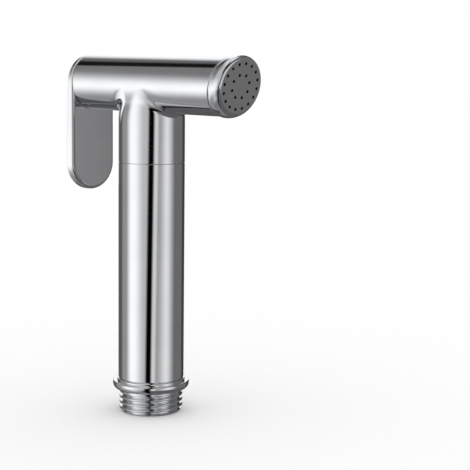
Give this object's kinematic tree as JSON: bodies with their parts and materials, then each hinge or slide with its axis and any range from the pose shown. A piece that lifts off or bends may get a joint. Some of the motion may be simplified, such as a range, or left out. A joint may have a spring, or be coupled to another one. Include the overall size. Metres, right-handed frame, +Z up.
{
  "type": "handheld bidet sprayer",
  "caption": "T-shaped chrome hand sprayer for a bidet: straight handle, round tilted spray face and a squeeze plate behind the head that opens a spring-loaded valve.",
  "frame": {"origin": "centre of the hose end's flat face, on the handle's axis", "axes": "+Z up the handle from the hose end, +X the way the spray leaves, so the trigger plate is at -X; the object is symmetric about the XZ plane apart from the turn of its spray holes"},
  "size_m": [0.075, 0.0252, 0.1178],
  "materials": {
    "chrome": "polished chrome plate",
    "brass": "turned brass",
    "rubber": "moulded black rubber",
    "steel": "stainless steel"
  },
  "bodies": {
    "sprayer": {"head_body": "chrome", "handle_tube": "chrome", "inlet_nipple": "chrome", "spray_cap": "chrome", "neck_o_ring": "rubber", "nipple_o_ring": "rubber", "cap_o_ring": "rubber", "valve_seat": "brass", "valve_seat_o_ring": "rubber", "gland_bush": "brass", "gland_o_ring": "rubber", "stem_o_ring_front": "rubber", "stem_o_ring_rear": "rubber", "return_spring": "steel"},
    "trigger": {"trigger_plate": "chrome", "link_pin": "steel"},
    "stem": {"valve_stem": "brass", "seal_washer": "rubber", "backing_washer": "steel", "washer_screw": "steel", "stem_eye": "brass", "lock_nut": "brass"}
  },
  "joints": [
    {"name": "trigger_rock", "type": "hinge", "parent": "sprayer", "child": "trigger", "pos_m": [-0.0292, 0, 0.0986], "axis": [0, -1, 0], "range_deg": [0, 15], "stiffness_Nm_per_rad": 0.5, "springref_deg": -20.05},
    {"name": "stem_slide", "type": "slide", "parent": "sprayer", "child": "stem", "axis": [-1, 0, 0], "range_m": [0, 0.00254], "deforming": ["return_spring"]}
  ],
  "couplings": [
    {"joint": "stem_slide", "follows": "trigger_rock", "m_per_rad": 0.009683}
  ]
}
